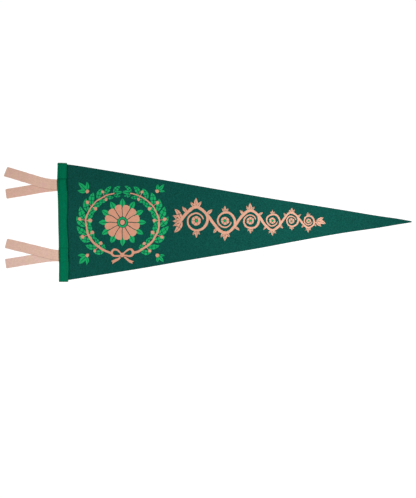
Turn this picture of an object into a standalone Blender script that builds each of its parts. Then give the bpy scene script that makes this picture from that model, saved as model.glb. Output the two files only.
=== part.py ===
"""Felt pennant flag, lying flat with its face up.

A long triangle of dark green felt, a narrow header strip sewn over its hoist edge, and two pairs
of felt ties whose roots lie between the pennant and the header. Metres, +Z up.

Every piece is laid out from the hoist: x runs from the hoist to the tip, y up the hoist from its
middle, and z up from the surface the flag lies on. One empty moves the whole layout so that the
origin is under the middle of the flag, ties included.
"""

import math
from collections.abc import Callable
from typing import NamedTuple

import bmesh
import bpy
import numpy as np

MM = 0.001

# Felt thicknesses, and the gap left between pieces that touch
PENNANT_THICK = 1.5 * MM
HEADER_THICK = 1.2 * MM
TIE_THICK = 1.0 * MM
GAP = 0.3 * MM
SLOPE_ROOM = 0.1 * MM  # extra room between two sheets that slope together
TIE_STEP = TIE_THICK + GAP + SLOPE_ROOM
STACK_BASE = PENNANT_THICK + GAP

# The pennant, 27 inches long, with the small waver of its hand-cut edges
PENNANT_LENGTH = 685.8 * MM
HOIST_TOP = 115.7 * MM
HOIST_BOTTOM = -114.5 * MM
HOIST_INSET_TOP = 0.8 * MM
HOIST_INSET_BOTTOM = 3.2 * MM
TIP_TOP = 2.1 * MM
TIP_BOTTOM = 0.5 * MM

# The header strip, about 18 mm wide, and the ends of its cut
HEADER_TOP = 115.6 * MM
HEADER_BOTTOM = -115.5 * MM
HEADER_CORNER = 1.2 * MM
HEADER_END_DROP = 0.7 * MM  # how much lower the top end is on the pennant's side
HEADER_CLEAR = 1.2 * MM  # how far past a tie's edge the header stays at full height
HEADER_RAMP = 3.5 * MM  # width over which the header climbs onto a tie

# The ties, 3/4 inch strips that show for 4 inches
TIE_EXIT = -2.0 * MM  # where a tie leaves the header
TIE_HIDDEN = 15.0 * MM  # length of its root under the header
TIE_CORNER = 1.2 * MM
TIE_DROP_START = -3.6 * MM  # the ties come down from the header's height over this stretch
TIE_DROP_END = -17.0 * MM
FORK_START = -58.0 * MM  # past the fork the upper tie comes down to the surface too
FORK_END = -78.0 * MM
TIE_REACH = 104.7 * MM  # the furthest corner of the ties

HOIST_X = (TIE_REACH - PENNANT_LENGTH) / 2


class EdgeStation(NamedTuple):
    """How far the pennant's two long edges stand out of a straight cut, in millimetres."""

    along: float
    upper_out: float
    lower_out: float


EDGE_STATIONS = [
    EdgeStation(along=0, upper_out=-1.0, lower_out=0.2),
    EdgeStation(along=30, upper_out=0.2, lower_out=0.5),
    EdgeStation(along=80, upper_out=0.6, lower_out=0.9),
    EdgeStation(along=160, upper_out=0.5, lower_out=1.5),
    EdgeStation(along=240, upper_out=0.2, lower_out=1.1),
    EdgeStation(along=315, upper_out=-0.4, lower_out=1.1),
    EdgeStation(along=390, upper_out=-1.0, lower_out=0.9),
    EdgeStation(along=470, upper_out=-0.7, lower_out=-0.6),
    EdgeStation(along=550, upper_out=-0.2, lower_out=-1.2),
    EdgeStation(along=625, upper_out=-0.2, lower_out=0.3),
    EdgeStation(along=665, upper_out=0.6, lower_out=0.3),
    EdgeStation(along=685.8, upper_out=0.2, lower_out=0.6),
]


class HeaderStation(NamedTuple):
    """Where the header strip's two edges lie at one height on the hoist, in millimetres."""

    height: float
    left: float
    right: float


HEADER_STATIONS = [
    HeaderStation(height=115.6, left=-0.7, right=18.0),
    HeaderStation(height=106.0, left=-0.8, right=17.5),
    HeaderStation(height=91.0, left=-1.3, right=17.1),
    HeaderStation(height=73.0, left=-1.5, right=17.2),
    HeaderStation(height=59.0, left=-0.8, right=18.2),
    HeaderStation(height=44.0, left=-0.2, right=18.6),
    HeaderStation(height=21.0, left=0.3, right=18.4),
    HeaderStation(height=5.0, left=0.5, right=17.4),
    HeaderStation(height=-18.0, left=1.0, right=18.3),
    HeaderStation(height=-33.0, left=1.4, right=19.5),
    HeaderStation(height=-48.0, left=1.6, right=20.4),
    HeaderStation(height=-64.0, left=1.8, right=20.2),
    HeaderStation(height=-80.0, left=2.2, right=21.0),
    HeaderStation(height=-95.0, left=2.1, right=20.8),
    HeaderStation(height=-115.5, left=1.9, right=20.2),
]


class TieCut(NamedTuple):
    """One tie strip. Lengths are in millimetres, and leans are degrees above the level."""

    name: str
    root_height: float  # middle of the strip where it leaves the header
    root_lean: float
    tail_lean: float
    bend: float  # length over which the lean changes
    length: float
    width: float
    end_skew: float  # degrees that the cut end is off square
    layer: int  # 0 lies on the pennant, 1 on the other tie of the pair


TIES = [
    TieCut(
        name="tie_top_under", root_height=70.1, root_lean=-5.2, tail_lean=-9.6,
        bend=40, length=100.1, width=18.9, end_skew=-2.3, layer=0,
    ),
    TieCut(
        name="tie_top_over", root_height=73.1, root_lean=4.5, tail_lean=17.1,
        bend=43.5, length=103.3, width=19.6, end_skew=-3.1, layer=1,
    ),
    TieCut(
        name="tie_low_under", root_height=-66.5, root_lean=-0.5, tail_lean=-9.2,
        bend=30, length=100.7, width=18.5, end_skew=-1.2, layer=0,
    ),
    TieCut(
        name="tie_low_over", root_height=-63.2, root_lean=5.0, tail_lean=13.5,
        bend=14, length=101.5, width=19.5, end_skew=-1.2, layer=1,
    ),
]

# How finely the sheets are divided
EDGE_POINTS = 42
HEADER_COLUMNS = 6
HEADER_ROW = 1.2 * MM
TIE_COLUMNS = 6
TIE_ROW = 4.0 * MM
CORNER_ROWS = 4
PATH_STEPS = 400


def smoothstep(t: np.ndarray) -> np.ndarray:
    """0 below 0, 1 above 1, and 3t^2 - 2t^3 between."""
    t = np.clip(t, 0.0, 1.0)
    return t * t * (3.0 - 2.0 * t)


def smooth_table(at: np.ndarray, known: np.ndarray, values: np.ndarray) -> np.ndarray:
    """A cubic through the rows of a table, with each row's slope taken from its neighbours."""
    slopes = np.gradient(values, known)
    i = np.clip(np.searchsorted(known, at) - 1, 0, len(known) - 2)
    span = known[i + 1] - known[i]
    t = np.clip((at - known[i]) / span, 0.0, 1.0)
    return (
        values[i] * (1 + 2 * t) * (1 - t) ** 2
        + values[i + 1] * t * t * (3 - 2 * t)
        + span * slopes[i] * t * (1 - t) ** 2
        - span * slopes[i + 1] * t * t * (1 - t)
    )


def corner_inset(from_end: np.ndarray, radius: float) -> np.ndarray:
    """How far a round corner pulls a side in, at a distance from the strip's end."""
    t = np.clip(from_end / radius, 0.0, 1.0)
    return radius * (1.0 - np.sqrt(1.0 - (1.0 - t) ** 2))


def rows_between(low: float, high: float, step: float, radius: float, both: bool) -> np.ndarray:
    """Row positions about a step apart, closer together round the corners of the end or ends."""
    arc = radius * (1.0 - np.cos(np.linspace(0.0, math.pi / 2, CORNER_ROWS + 1)))
    first = low + arc if both else np.array([low])
    last = high - arc[::-1]
    middle = np.linspace(first[-1], last[0], max(2, round((high - low) / step)))
    return np.concatenate([first[:-1], middle, last[1:]])


def felt_material(name: str, colour: tuple[float, float, float]) -> bpy.types.Material:
    """A matte felt of one colour."""
    material = bpy.data.materials.new(name)
    material.use_nodes = True
    shader = material.node_tree.nodes["Principled BSDF"]
    shader.inputs["Base Color"].default_value = (*colour, 1.0)
    shader.inputs["Roughness"].default_value = 0.95
    shader.inputs["Metallic"].default_value = 0.0
    return material


def add_part(name: str, data: bpy.types.ID, material: bpy.types.Material) -> bpy.types.Object:
    """Puts a named piece in the flag's collection, under the empty at the hoist."""
    data.materials.append(material)
    part = bpy.data.objects.new(name, data)
    collection.objects.link(part)
    part.parent = hoist
    return part


def pennant_edge(inset: float, at_hoist: float, at_tip: float, out: np.ndarray) -> np.ndarray:
    """Points of one long edge, hoist to tip: a straight cut plus the waver of its stations."""
    along = np.linspace(inset, PENNANT_LENGTH, EDGE_POINTS)
    known = np.array([s.along for s in EDGE_STATIONS]) * MM
    straight = np.interp(along, [inset, PENNANT_LENGTH], [at_hoist, at_tip])
    return np.stack([along, straight + smooth_table(along, known, out * MM)], axis=1)


def make_pennant() -> bpy.types.Object:
    """The triangle: a flat outline whose long edges waver a little, half a thickness each way."""
    upper_out = np.array([s.upper_out for s in EDGE_STATIONS])
    lower_out = np.array([s.lower_out for s in EDGE_STATIONS])
    upper = pennant_edge(HOIST_INSET_TOP, HOIST_TOP, TIP_TOP, upper_out)
    lower = pennant_edge(HOIST_INSET_BOTTOM, HOIST_BOTTOM, TIP_BOTTOM, -lower_out)
    outline = np.concatenate([lower, upper[::-1]])

    curve = bpy.data.curves.new("pennant", "CURVE")
    curve.dimensions = "2D"
    curve.fill_mode = "BOTH"
    curve.extrude = PENNANT_THICK / 2
    spline = curve.splines.new("POLY")
    spline.points.add(len(outline) - 1)
    spline.use_cyclic_u = True
    for point, (x, y) in zip(spline.points, outline):
        point.co = (x, y, 0.0, 1.0)
    pennant = add_part("pennant", curve, pennant_felt)
    pennant.location.z = PENNANT_THICK / 2
    return pennant


def make_sheet(
    name: str,
    across: int,
    rows: np.ndarray,
    underside: Callable[[np.ndarray, np.ndarray], np.ndarray],
    thickness: float,
    material: bpy.types.Material,
) -> bpy.types.Object:
    """A strip of felt: a grid shaped by its underside's formula, then thickened upwards.

    The formula takes arrays of the share across the strip, from 0 to 1, and of the row's
    position along it, and gives the points.
    """
    mesh = bpy.data.meshes.new(name)
    bm = bmesh.new()
    bmesh.ops.create_grid(bm, x_segments=across, y_segments=len(rows) - 1, size=0.5)
    grid = np.array([v.co for v in bm.verts])
    position = rows[np.rint((grid[:, 1] + 0.5) * (len(rows) - 1)).astype(int)]
    for vert, point in zip(bm.verts, underside(grid[:, 0] + 0.5, position)):
        vert.co = point
    bmesh.ops.recalc_face_normals(bm, faces=bm.faces)
    if sum(face.normal.z for face in bm.faces) < 0:
        bmesh.ops.reverse_faces(bm, faces=bm.faces)
    bm.to_mesh(mesh)
    bm.free()
    sheet = add_part(name, mesh, material)
    solidify = sheet.modifiers.new("felt thickness", "SOLIDIFY")
    solidify.thickness = thickness
    solidify.offset = 1.0
    solidify.use_even_offset = True
    return sheet


def tie_path(tie: TieCut, along: np.ndarray) -> tuple[np.ndarray, np.ndarray, np.ndarray]:
    """x, y and lean on a tie's middle line, at distances from where it leaves the header.

    The lean eases from its root value to its tail value over the bend, and the line is the sum
    of short steps in that direction. Under the header it runs straight on.
    """
    bend = tie.bend * MM
    change = math.radians(tie.tail_lean - tie.root_lean)
    steps = np.linspace(0.0, tie.length * MM * 1.1, PATH_STEPS)
    lean = math.radians(tie.root_lean) + change * smoothstep(steps / bend)
    middle = (lean[1:] + lean[:-1]) / 2
    stride = np.diff(steps)
    x = np.concatenate([[0.0], -np.cumsum(np.cos(middle) * stride)])
    y = np.concatenate([[0.0], np.cumsum(np.sin(middle) * stride)])
    hidden = np.minimum(along, 0.0)
    path_x = np.interp(along, steps, x) - hidden * math.cos(lean[0])
    path_y = np.interp(along, steps, y) + hidden * math.sin(lean[0])
    return TIE_EXIT + path_x, tie.root_height * MM + path_y, np.interp(along, steps, lean)


def tie_height(tie: TieCut, x: np.ndarray) -> np.ndarray:
    """Height of a tie's underside: down from the header, then, past the fork, to the surface."""
    down_from_header = smoothstep((x - TIE_DROP_START) / (TIE_DROP_END - TIE_DROP_START))
    past_fork = smoothstep((x - FORK_START) / (FORK_END - FORK_START))
    return STACK_BASE * (1 - down_from_header) + tie.layer * TIE_STEP * (1 - past_fork)


def tie_underside(tie: TieCut, share: np.ndarray, along: np.ndarray) -> np.ndarray:
    """Points of a tie's underside: across its middle line, with round corners at the cut end."""
    length = tie.length * MM
    half = tie.width * MM / 2 - corner_inset(length - along, TIE_CORNER)
    off = (2 * share - 1) * half
    skewed = along + off * math.tan(math.radians(tie.end_skew)) * smoothstep(along / length)
    x, y, lean = tie_path(tie, skewed)
    x = x + off * np.sin(lean)
    y = y + off * np.cos(lean)
    return np.stack([x, y, tie_height(tie, x)], axis=1)


def make_tie(tie: TieCut) -> bpy.types.Object:
    """One tie strip, from its hidden root to its cut end."""
    rows = rows_between(-TIE_HIDDEN, tie.length * MM, TIE_ROW, TIE_CORNER, both=False)
    return make_sheet(
        tie.name, TIE_COLUMNS, rows,
        lambda share, along: tie_underside(tie, share, along),
        TIE_THICK, tie_felt,
    )


def tie_span(tie: TieCut) -> tuple[float, float]:
    """Lowest and highest y of a tie under the header."""
    share, along = np.meshgrid([0.0, 1.0], np.linspace(-TIE_HIDDEN, 0.0, 5))
    y = tie_underside(tie, share.ravel(), along.ravel())[:, 1]
    return float(y.min()), float(y.max())


def header_lift(y: np.ndarray) -> np.ndarray:
    """How far the ties raise the header: to the top of the highest, with a ramp beside it."""
    lift = np.zeros_like(y)
    for tie in TIES:
        low, high = tie_span(tie)
        outside = np.maximum(low - y, y - high) - HEADER_CLEAR
        raised = (tie.layer + 1) * TIE_STEP
        lift = np.maximum(lift, raised * smoothstep(1 - outside / HEADER_RAMP))
    return lift


def header_underside(share: np.ndarray, y: np.ndarray) -> np.ndarray:
    """Points of the header's underside, between its two wavering edges."""
    stations = HEADER_STATIONS[::-1]
    height = np.array([s.height for s in stations]) * MM
    inset = corner_inset(np.minimum(HEADER_TOP - y, y - HEADER_BOTTOM), HEADER_CORNER)
    left = smooth_table(y, height, np.array([s.left for s in stations]) * MM) + inset
    right = smooth_table(y, height, np.array([s.right for s in stations]) * MM) - inset
    x = left + (right - left) * share
    near_top = smoothstep(1 - (HEADER_TOP - y) / (2 * HEADER_CORNER))
    return np.stack([x, y - HEADER_END_DROP * share * near_top, STACK_BASE + header_lift(y)], axis=1)


def make_header() -> bpy.types.Object:
    """The header strip over the hoist edge and the roots of the ties."""
    rows = rows_between(HEADER_BOTTOM, HEADER_TOP, HEADER_ROW, HEADER_CORNER, both=True)
    return make_sheet("header", HEADER_COLUMNS, rows, header_underside, HEADER_THICK, header_felt)


for leftover in list(bpy.data.objects):
    bpy.data.objects.remove(leftover)

collection = bpy.data.collections.new("pennant_flag")
bpy.context.scene.collection.children.link(collection)
hoist = bpy.data.objects.new("hoist_middle", None)
hoist.location.x = HOIST_X
collection.objects.link(hoist)

pennant_felt = felt_material("dark_green_wool_felt", (0.005, 0.075, 0.058))
header_felt = felt_material("bright_green_wool_felt", (0.001, 0.150, 0.072))
tie_felt = felt_material("tan_wool_felt", (0.640, 0.420, 0.330))

make_pennant()
make_header()
for cut in TIES:
    make_tie(cut)
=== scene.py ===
"""Looks of a felt pennant flag: its felts, sewing and screen print, and a plain studio.

Lengths are in metres, with x from the hoist to the tip, y up the hoist from its middle and z up
from the surface that the flag lies on. Every piece is worked out in those hoist coordinates, and
`Skin.to_object` moves it along x to the frame's origin, which is under the middle of the flag.
"""

from __future__ import annotations

import logging
import math
from collections.abc import Callable, Sequence
from dataclasses import dataclass, field
from enum import Enum
from typing import NamedTuple

import bpy
import numpy as np
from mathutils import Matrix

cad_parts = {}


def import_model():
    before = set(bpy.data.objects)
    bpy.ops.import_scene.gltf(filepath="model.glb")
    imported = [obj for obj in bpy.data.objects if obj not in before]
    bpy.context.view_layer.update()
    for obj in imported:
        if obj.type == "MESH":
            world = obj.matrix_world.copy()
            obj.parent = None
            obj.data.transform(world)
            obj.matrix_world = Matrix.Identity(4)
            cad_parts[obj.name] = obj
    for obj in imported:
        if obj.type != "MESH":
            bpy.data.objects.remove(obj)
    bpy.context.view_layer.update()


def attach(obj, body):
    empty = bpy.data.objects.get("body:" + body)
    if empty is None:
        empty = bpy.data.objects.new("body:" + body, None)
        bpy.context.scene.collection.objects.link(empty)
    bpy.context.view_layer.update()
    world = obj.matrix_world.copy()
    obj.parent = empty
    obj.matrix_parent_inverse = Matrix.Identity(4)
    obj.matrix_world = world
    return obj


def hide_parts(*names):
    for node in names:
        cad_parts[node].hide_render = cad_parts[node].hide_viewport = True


LOG = logging.getLogger("pennant_flag")

MM = 0.001
HOIST_X = (104.7 - 685.8) / 2 * MM  # the hoist, when the origin is under the flag's middle
BODY = "root"

FIBRE_PARTS = 3  # straight parts that a loose fibre's curve is drawn with
FIBRE_TAPER = 0.6  # of its radius, lost from root to free end
UP = np.array([0.0, 0.0, 1.0])
WHITE = (1.0, 1.0, 1.0, 1.0)

Array = np.ndarray
Colour = tuple[float, float, float, float]


# Small tools


def linear(hex_colour: str) -> Colour:
    """Turns an sRGB hex colour, such as "#1d965e", to linear red, green, blue and alpha.

    Args:
        hex_colour: Six hex digits after a hash.

    Returns:
        Four numbers from 0 to 1, the last always 1.
    """
    channels = [int(hex_colour[i : i + 2], 16) / 255 for i in (1, 3, 5)]
    curved = [c / 12.92 if c <= 0.04045 else ((c + 0.055) / 1.055) ** 2.4 for c in channels]
    return (*curved, 1.0)


def joined(*parts: Array) -> Array:
    """Points from their coordinates: arrays of one shape, side by side on a new last axis."""
    return np.stack(parts, axis=-1)


def smoothstep(t: Array) -> Array:
    """0 below 0, 1 above 1, and 3t^2 - 2t^3 between."""
    t = np.clip(t, 0.0, 1.0)
    return t * t * (3.0 - 2.0 * t)


def bell(distance: Array, width: float) -> Array:
    """A bell curve: e to the minus square of distance over width."""
    return np.exp(-((distance / width) ** 2))


def smooth_table(at: Array, known: Array, values: Array) -> Array:
    """Reads a table smoothly: a cubic per gap, each row's slope taken from its neighbours.

    Args:
        at: Where the table is read.
        known: Rising positions of the rows.
        values: The rows' values.

    Returns:
        One value for each position in `at`.
    """
    slopes = np.gradient(values, known)
    i = np.clip(np.searchsorted(known, at) - 1, 0, len(known) - 2)
    span = known[i + 1] - known[i]
    t = np.clip((at - known[i]) / span, 0.0, 1.0)
    return (
        values[i] * (1 + 2 * t) * (1 - t) ** 2
        + values[i + 1] * t * t * (3 - 2 * t)
        + span * slopes[i] * t * (1 - t) ** 2
        - span * slopes[i + 1] * t * t * (1 - t)
    )


def corner_inset(from_end: Array, radius: float) -> Array:
    """How far a round corner pulls a side in, at a distance from the strip's end."""
    t = np.clip(from_end / radius, 0.0, 1.0)
    return radius * (1.0 - np.sqrt(1.0 - (1.0 - t) ** 2))


def round_edge(from_edge: Array, radius: float) -> Array:
    """Share of full thickness near a rounded edge: a quarter circle, 0 at the edge itself."""
    t = np.clip(from_edge / radius, 0.0, 1.0)
    return np.sqrt(np.clip(1.0 - (1.0 - t) ** 2, 0.0, 1.0))


def spaced(length: float, step: float, radius: float) -> Array:
    """Positions from 0 to a length, about a step apart but closer round both edges.

    Args:
        length: The whole length.
        step: Spacing away from the edges.
        radius: Radius of the rounded edges.

    Returns:
        Rising positions, both ends included.
    """
    arc = radius * (1.0 - np.cos(np.linspace(0.0, math.pi / 2, 5)))
    middle = np.linspace(radius, length - radius, max(2, round((length - 2 * radius) / step) + 1))
    return np.concatenate([arc[:-1], middle, length - arc[-2::-1]])


@dataclass(frozen=True)
class Unevenness:
    """A smooth random relief: a sum of plane sine waves in random directions."""

    shortest: float
    longest: float
    count: int
    seed: int

    def at(self, x: Array, y: Array) -> Array:
        """Works out the relief at points of the plane.

        Args:
            x: Their x.
            y: Their y, in the same shape.

        Returns:
            A value for each point, mostly between -1 and 1.
        """
        rng = np.random.default_rng(self.seed)
        low, high = math.log(self.shortest), math.log(self.longest)
        wave = 2 * math.pi / np.exp(rng.uniform(low, high, self.count))
        angle = rng.uniform(0, 2 * math.pi, self.count)
        phase = rng.uniform(0, 2 * math.pi, self.count)
        turn = x[..., None] * (wave * np.cos(angle)) + y[..., None] * (wave * np.sin(angle))
        return np.sin(turn + phase).sum(axis=-1) / math.sqrt(self.count)


# Meshes


@dataclass
class Skin:
    """Closed surfaces gathered into one mesh, with a value of painted shade at each point."""

    points: list[Array] = field(default_factory=list)
    faces: list[Array] = field(default_factory=list)
    painted_shade: list[Array] = field(default_factory=list)
    total: int = 0

    def _add(self, points: Array, faces: Sequence[Array], painted_shade: Array | None) -> None:
        """Keeps one more set of points and the faces on them.

        Args:
            points: An array of any shape, by 3.
            faces: Arrays of faces by corners, which count the new points from 0.
            painted_shade: A value of painted shade for each point, or None where there is none.
        """
        flat = points.reshape(-1, 3)
        self.points.append(flat)
        self.faces.extend(f + self.total for f in faces)
        self.painted_shade.append(np.zeros(len(flat)) if painted_shade is None else painted_shade.ravel())
        self.total += len(flat)

    def add_sheet(
        self, x: Array, y: Array, upper: Array, lower: Array, painted_shade: Array | None = None
    ) -> None:
        """Adds a closed sheet: two faces on one grid, which share its border points.

        Args:
            x: Rows by columns, as are all five.
            y: The points' y.
            upper: Heights of the face that looks up. Its border is the sheet's rim.
            lower: Heights of the face that looks down. Its own border is not used.
            painted_shade: Painted shade, from 0 for none to 1 for the darkest, or None for 0.
        """
        rows, columns = x.shape
        top = np.arange(rows * columns).reshape(rows, columns)
        low = top.copy()
        inner = (rows - 2) * (columns - 2)
        low[1:-1, 1:-1] = rows * columns + np.arange(inner).reshape(rows - 2, columns - 2)
        across_x, across_y = x[0, 1] - x[0, 0], y[0, 1] - y[0, 0]
        up_x, up_y = x[1, 0] - x[0, 0], y[1, 0] - y[0, 0]
        if across_x * up_y - across_y * up_x < 0:
            top, low = top[:, ::-1], low[:, ::-1]
        faces = []
        for grid, looks_down in ((top, False), (low, True)):
            a, b, c, d = grid[:-1, :-1], grid[:-1, 1:], grid[1:, 1:], grid[1:, :-1]
            order = (d, c, b, a) if looks_down else (a, b, c, d)
            faces.append(joined(*order).reshape(-1, 4))
        face, back = joined(x, y, upper), joined(x, y, lower)
        points = np.concatenate([face.reshape(-1, 3), back[1:-1, 1:-1].reshape(-1, 3)])
        if painted_shade is not None:
            painted_shade = np.concatenate([painted_shade.ravel(), painted_shade[1:-1, 1:-1].ravel()])
        self._add(points, faces, painted_shade)

    def add_tubes(self, rings: Array) -> None:
        """Adds many closed tubes at once.

        Args:
            rings: Tubes by rings by sides by 3, each ring turning left as the tube runs on.
        """
        tubes, count, sides = rings.shape[:3]
        ids = np.arange(tubes * count * sides).reshape(tubes, count, sides)
        onward = np.roll(ids, -1, axis=2)
        walls = joined(ids[:, :-1], onward[:, :-1], onward[:, 1:], ids[:, 1:])
        self._add(rings, [walls.reshape(-1, 4), ids[:, 0, ::-1], ids[:, -1]], None)

    def add_fibres(
        self,
        root: Array,
        heading: Array,
        curl: Array,
        length: Array,
        rise: Array,
        arch: Array,
        radius: float,
    ) -> None:
        """Adds loose fibres: tubes of three sides that taper to their free ends.

        At a share t of its length, a fibre's heading has turned by its curl times t. It stands
        above its root by its rise times t and its arch times half a sine wave of t, but never
        sinks into the surface that the flag lies on. Its radius shrinks evenly by the taper.

        Args:
            root: Fibres by 3.
            heading: Direction of each at its root, in radians.
            curl: How far each turns over its length, in radians.
            length: How long each is.
            rise: How much higher its free end is.
            arch: How far its middle stands up.
            radius: Half the thickness at the root.
        """
        share = np.linspace(0.0, 1.0, FIBRE_PARTS + 1)
        turn = heading[:, None] + curl[:, None] * share
        level = np.zeros_like(turn)
        forward = joined(np.cos(turn), np.sin(turn), level)
        side = joined(-np.sin(turn), np.cos(turn), level)
        stride = (forward[:, 1:] + forward[:, :-1]) / 2 * (length / FIBRE_PARTS)[:, None, None]
        line = np.concatenate([0 * stride[:, :1], stride.cumsum(axis=1)], axis=1) + root[:, None]
        line[..., 2] += rise[:, None] * share + arch[:, None] * np.sin(math.pi * share)
        line[..., 2] = np.maximum(line[..., 2], 1.5 * radius)
        around = np.linspace(0.0, 2 * math.pi, 3, endpoint=False)[:, None]
        ring = np.cos(around) * side[:, :, None] + np.sin(around) * UP
        self.add_tubes(line[:, :, None] + radius * (1 - FIBRE_TAPER * share)[:, None, None] * ring)

    def to_object(
        self, name: str, material: bpy.types.Material, slot: str, smooth: bool = True
    ) -> bpy.types.Object:
        """Makes the mesh and its object, at the origin, riding on the flag's one body.

        Args:
            name: The piece's name.
            material: Its finish.
            slot: The material slot that the finish belongs to. It is not used.
            smooth: Whether its faces are shaded smooth.

        Returns:
            The new object.
        """
        points = np.concatenate(self.points) + np.array([HOIST_X, 0.0, 0.0])
        faces = [face for group in self.faces for face in group.tolist()]
        mesh = bpy.data.meshes.new(name)
        mesh.from_pydata(points, [], faces)
        mesh.polygons.foreach_set("use_smooth", np.full(len(mesh.polygons), smooth))
        # This point attribute carries painted shade: how much the felt's colour is darkened to
        # stand for shade that falls there.
        values = mesh.attributes.new("painted_shade", "FLOAT", "POINT")
        values.data.foreach_set("value", np.concatenate(self.painted_shade).astype(np.float32))
        mesh.materials.append(material)
        mesh.update()
        piece = bpy.data.objects.new(name, mesh)
        bpy.context.scene.collection.objects.link(piece)
        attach(piece, BODY)
        return piece


# Materials

MIX_A, MIX_B, MIX_RESULT = 6, 7, 2  # a colour Mix node's sockets


def fill(tree: bpy.types.NodeTree, node: bpy.types.Node, inputs: dict[str | int, object]) -> None:
    """Fills inputs of a node.

    Args:
        tree: The node tree.
        node: The node in it.
        inputs: For each input socket, a value to set or another node's output to link.
    """
    for key, value in inputs.items():
        if isinstance(value, bpy.types.NodeSocket):
            tree.links.new(value, node.inputs[key])
        else:
            node.inputs[key].default_value = value


def add_node(
    tree: bpy.types.NodeTree, kind: str, inputs: dict[str | int, object], **settings: object
) -> bpy.types.Node:
    """Adds a node, sets its settings, and fills its inputs.

    Args:
        tree: The node tree.
        kind: The node's Blender type.
        inputs: What goes into its input sockets.
        **settings: Properties of the node itself.

    Returns:
        The new node.
    """
    node = tree.nodes.new(kind)
    for name, value in settings.items():
        setattr(node, name, value)
    fill(tree, node, inputs)
    return node


class Started(NamedTuple):
    """A new material, and what its pattern is built on."""

    made: bpy.types.Material
    tree: bpy.types.NodeTree
    shader: bpy.types.Node
    place: bpy.types.NodeSocket


def start_material(name: str) -> Started:
    """Makes a node material, with its shader and the piece's own coordinates ready.

    Args:
        name: The material's name.

    Returns:
        The material, its node tree, its shader node and the coordinates' output.
    """
    made = bpy.data.materials.new(name)
    made.use_nodes = True
    place = add_node(made.node_tree, "ShaderNodeTexCoord", {}).outputs["Object"]
    return Started(made, made.node_tree, made.node_tree.nodes["Principled BSDF"], place)


class Nap(Enum):
    """How the felt's fibres lie, as a stretch of their pattern along x and along y."""

    EVEN = (1.0, 1.0)
    ALONG_X = (0.55, 1.0)
    ALONG_Y = (1.0, 0.55)


@dataclass(frozen=True)
class WoolFelt:
    """Pressed wool felt: matte, with no weave, mottled where its fibres clump.

    It gives the eye a soft even colour with small lighter and darker clouds, a fine tangle of
    fibres close up, and a little bloom at a glancing angle.
    """

    name: str
    body_hex: str  # most of the blend
    fleece_hex: str  # the second dyed fleece in it, a shade off the first
    fibre_hex: str  # the lighter fibres in it
    nap: Nap = Nap.EVEN
    fleece: float = 13 * MM  # how far apart the second fleece gathers
    clump: float = 2.1 * MM  # size of the mottled clouds
    clump_depth: float = 0.42
    fibre: float = 0.9 * MM  # wider than a real 0.03 mm fibre, so that the tangle shows
    fibre_share: float = 0.16
    painted_shade_depth: float = 0.55  # how much darker the felt is at full painted shade
    bloom_hex: str = "#4fae98"  # the fibre ends that catch a glancing light

    def material(self) -> bpy.types.Material:
        """Builds the felt's node material.

        Returns:
            The material.
        """
        made, tree, shader, place = start_material(self.name)
        lie = add_node(
            tree, "ShaderNodeMapping", {"Vector": place, "Scale": (*self.nap.value, 1.0)}
        ).outputs["Vector"]
        gathered = add_node(
            tree, "ShaderNodeTexNoise", {"Vector": place, "Scale": 1 / self.fleece, "Detail": 2.0}
        ).outputs["Fac"]
        second = add_node(
            tree, "ShaderNodeMapRange", {"Value": gathered, "From Min": 0.35, "From Max": 0.65}
        ).outputs["Result"]
        body = add_node(
            tree, "ShaderNodeMix",
            {0: second, MIX_A: linear(self.body_hex), MIX_B: linear(self.fleece_hex)},
            data_type="RGBA",
        ).outputs[MIX_RESULT]
        clouds = add_node(
            tree, "ShaderNodeTexNoise",
            {"Vector": lie, "Scale": 1 / self.clump, "Detail": 2.0, "Roughness": 0.65},
        ).outputs["Fac"]
        tangle = add_node(
            tree, "ShaderNodeTexNoise",
            {"Vector": lie, "Scale": 1 / self.fibre, "Detail": 3.0, "Distortion": 1.2},
            noise_type="RIDGED_MULTIFRACTAL", normalize=True,
        ).outputs["Fac"]
        strands = add_node(
            tree, "ShaderNodeMapRange",
            {"Value": tangle, "From Min": 0.45, "From Max": 0.9, "To Max": self.fibre_share},
        ).outputs["Result"]
        blend = add_node(
            tree, "ShaderNodeMix",
            {0: strands, MIX_A: body, MIX_B: linear(self.fibre_hex)},
            data_type="RGBA",
        ).outputs[MIX_RESULT]
        cloud_tone = add_node(
            tree, "ShaderNodeMapRange",
            {
                "Value": clouds, "From Min": 0.25, "From Max": 0.75,
                "To Min": 1 - self.clump_depth, "To Max": 1 + self.clump_depth,
            },
        ).outputs["Result"]
        # Painted shade: the point attribute darkens the felt where shade falls, in seams, by edges
        # and along ridges.
        painted_shade = add_node(
            tree, "ShaderNodeAttribute", {}, attribute_name="painted_shade"
        ).outputs["Fac"]
        painted_shade_tone = add_node(
            tree, "ShaderNodeMapRange",
            {"Value": painted_shade, "To Min": 1.0, "To Max": 1 - self.painted_shade_depth},
        ).outputs["Result"]
        tone = add_node(
            tree, "ShaderNodeMath", {0: cloud_tone, 1: painted_shade_tone}, operation="MULTIPLY"
        ).outputs["Value"]
        colour = add_node(
            tree, "ShaderNodeVectorMath", {"Vector": blend, "Scale": tone}, operation="SCALE"
        ).outputs["Vector"]
        loft = add_node(
            tree, "ShaderNodeMath", {0: tangle, 1: clouds}, operation="ADD"
        ).outputs["Value"]
        bump = add_node(
            tree, "ShaderNodeBump", {"Height": loft, "Strength": 0.35, "Distance": 0.3 * MM}
        ).outputs["Normal"]
        fill(tree, shader, {
            "Base Color": colour, "Normal": bump, "Roughness": 0.95, "Specular IOR Level": 0.0,
            "Sheen Weight": 0.06, "Sheen Roughness": 0.5, "Sheen Tint": linear(self.bloom_hex),
        })
        return made


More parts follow.
